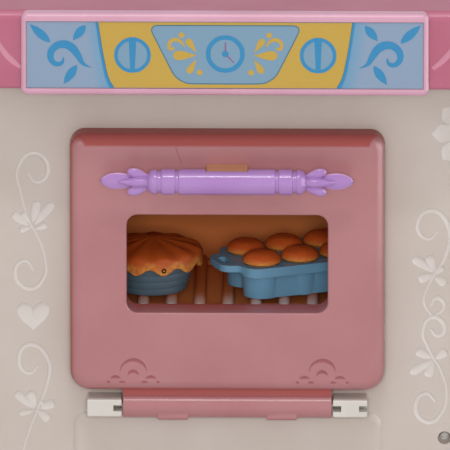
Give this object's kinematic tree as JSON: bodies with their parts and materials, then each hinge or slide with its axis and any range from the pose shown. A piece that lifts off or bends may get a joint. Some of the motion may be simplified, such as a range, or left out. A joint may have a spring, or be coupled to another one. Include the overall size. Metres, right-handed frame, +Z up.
{
  "type": "doll kitchen oven unit",
  "caption": "Doll kitchen oven unit: cream cabinet, pink worktop with a printed control panel, and a drop-down oven door with window and handle over a rack with play food.",
  "frame": {"origin": "middle of the floor area under the whole unit, on the floor", "axes": "+Z up, the front with the oven door faces -Y, +X to the right seen from the front"},
  "size_m": [0.296, 0.15, 0.2712],
  "materials": {
    "cream_plastic": "satin moulded cream plastic",
    "worktop_plastic": "glossy pink plastic",
    "panel_frame_plastic": "glossy light pink plastic",
    "printed_label": "printed film, light blue ground",
    "liner_plastic": "matt orange-brown plastic",
    "rack_plastic": "satin off-white plastic",
    "white_plastic": "satin white plastic",
    "door_plastic": "semi-gloss dusty pink plastic",
    "handle_plastic": "pearly glossy purple plastic",
    "tab_plastic": "satin tan plastic",
    "dish_plastic": "satin grey-blue plastic",
    "tin_plastic": "semi-gloss light blue plastic",
    "crust_plastic": "matt grainy brown plastic",
    "steel": "bright zinc-plated steel"
  },
  "bodies": {
    "cabinet": {"front_panel": "cream_plastic", "side_panel_left": "cream_plastic", "side_panel_right": "cream_plastic", "back_panel": "cream_plastic", "base_plate": "cream_plastic", "worktop": "worktop_plastic", "control_frame": "panel_frame_plastic", "control_label": "printed_label", "oven_liner": "liner_plastic", "oven_rack": "rack_plastic", "door_catch": "white_plastic", "hinge_pin": "steel", "hinge_knuckle_left": "white_plastic", "hinge_knuckle_right": "white_plastic", "front_screw_left": "steel", "front_screw_right": "steel", "knuckle_screw_left": "steel", "knuckle_screw_right": "steel", "liner_screw_1": "steel", "liner_screw_2": "steel", "liner_screw_3": "steel", "liner_screw_4": "steel", "base_screw_1": "steel", "base_screw_2": "steel", "base_screw_3": "steel", "base_screw_4": "steel", "worktop_screw_1": "steel", "worktop_screw_2": "steel", "worktop_screw_3": "steel", "worktop_screw_4": "steel", "back_screw_left_1": "steel", "back_screw_left_2": "steel", "back_screw_left_3": "steel", "back_screw_right_1": "steel", "back_screw_right_2": "steel", "back_screw_right_3": "steel"},
    "door": {"door_outer": "door_plastic", "door_inner": "door_plastic", "door_handle": "handle_plastic", "handle_tab": "tab_plastic", "handle_screw_left": "steel", "handle_screw_right": "steel", "door_screw_1": "steel", "door_screw_2": "steel", "door_screw_3": "steel", "door_screw_4": "steel"},
    "pie": {"pie_dish": "dish_plastic", "pie_crust": "crust_plastic"},
    "tin": {"muffin_tin": "tin_plastic", "muffin_1": "crust_plastic", "muffin_2": "crust_plastic", "muffin_3": "crust_plastic", "muffin_4": "crust_plastic", "muffin_5": "crust_plastic", "muffin_6": "crust_plastic"}
  },
  "joints": [
    {"name": "door_hinge", "type": "hinge", "parent": "cabinet", "child": "door", "pos_m": [0, -0.0465, 0.06], "axis": [1, 0, 0], "range_deg": [0, 90]},
    {"name": "pie_lift", "type": "slide", "parent": "cabinet", "child": "pie", "axis": [0, 0, 1], "range_m": [0, 0.04]},
    {"name": "tin_lift", "type": "slide", "parent": "cabinet", "child": "tin", "axis": [0, 0, 1], "range_m": [0, 0.04]}
  ]
}
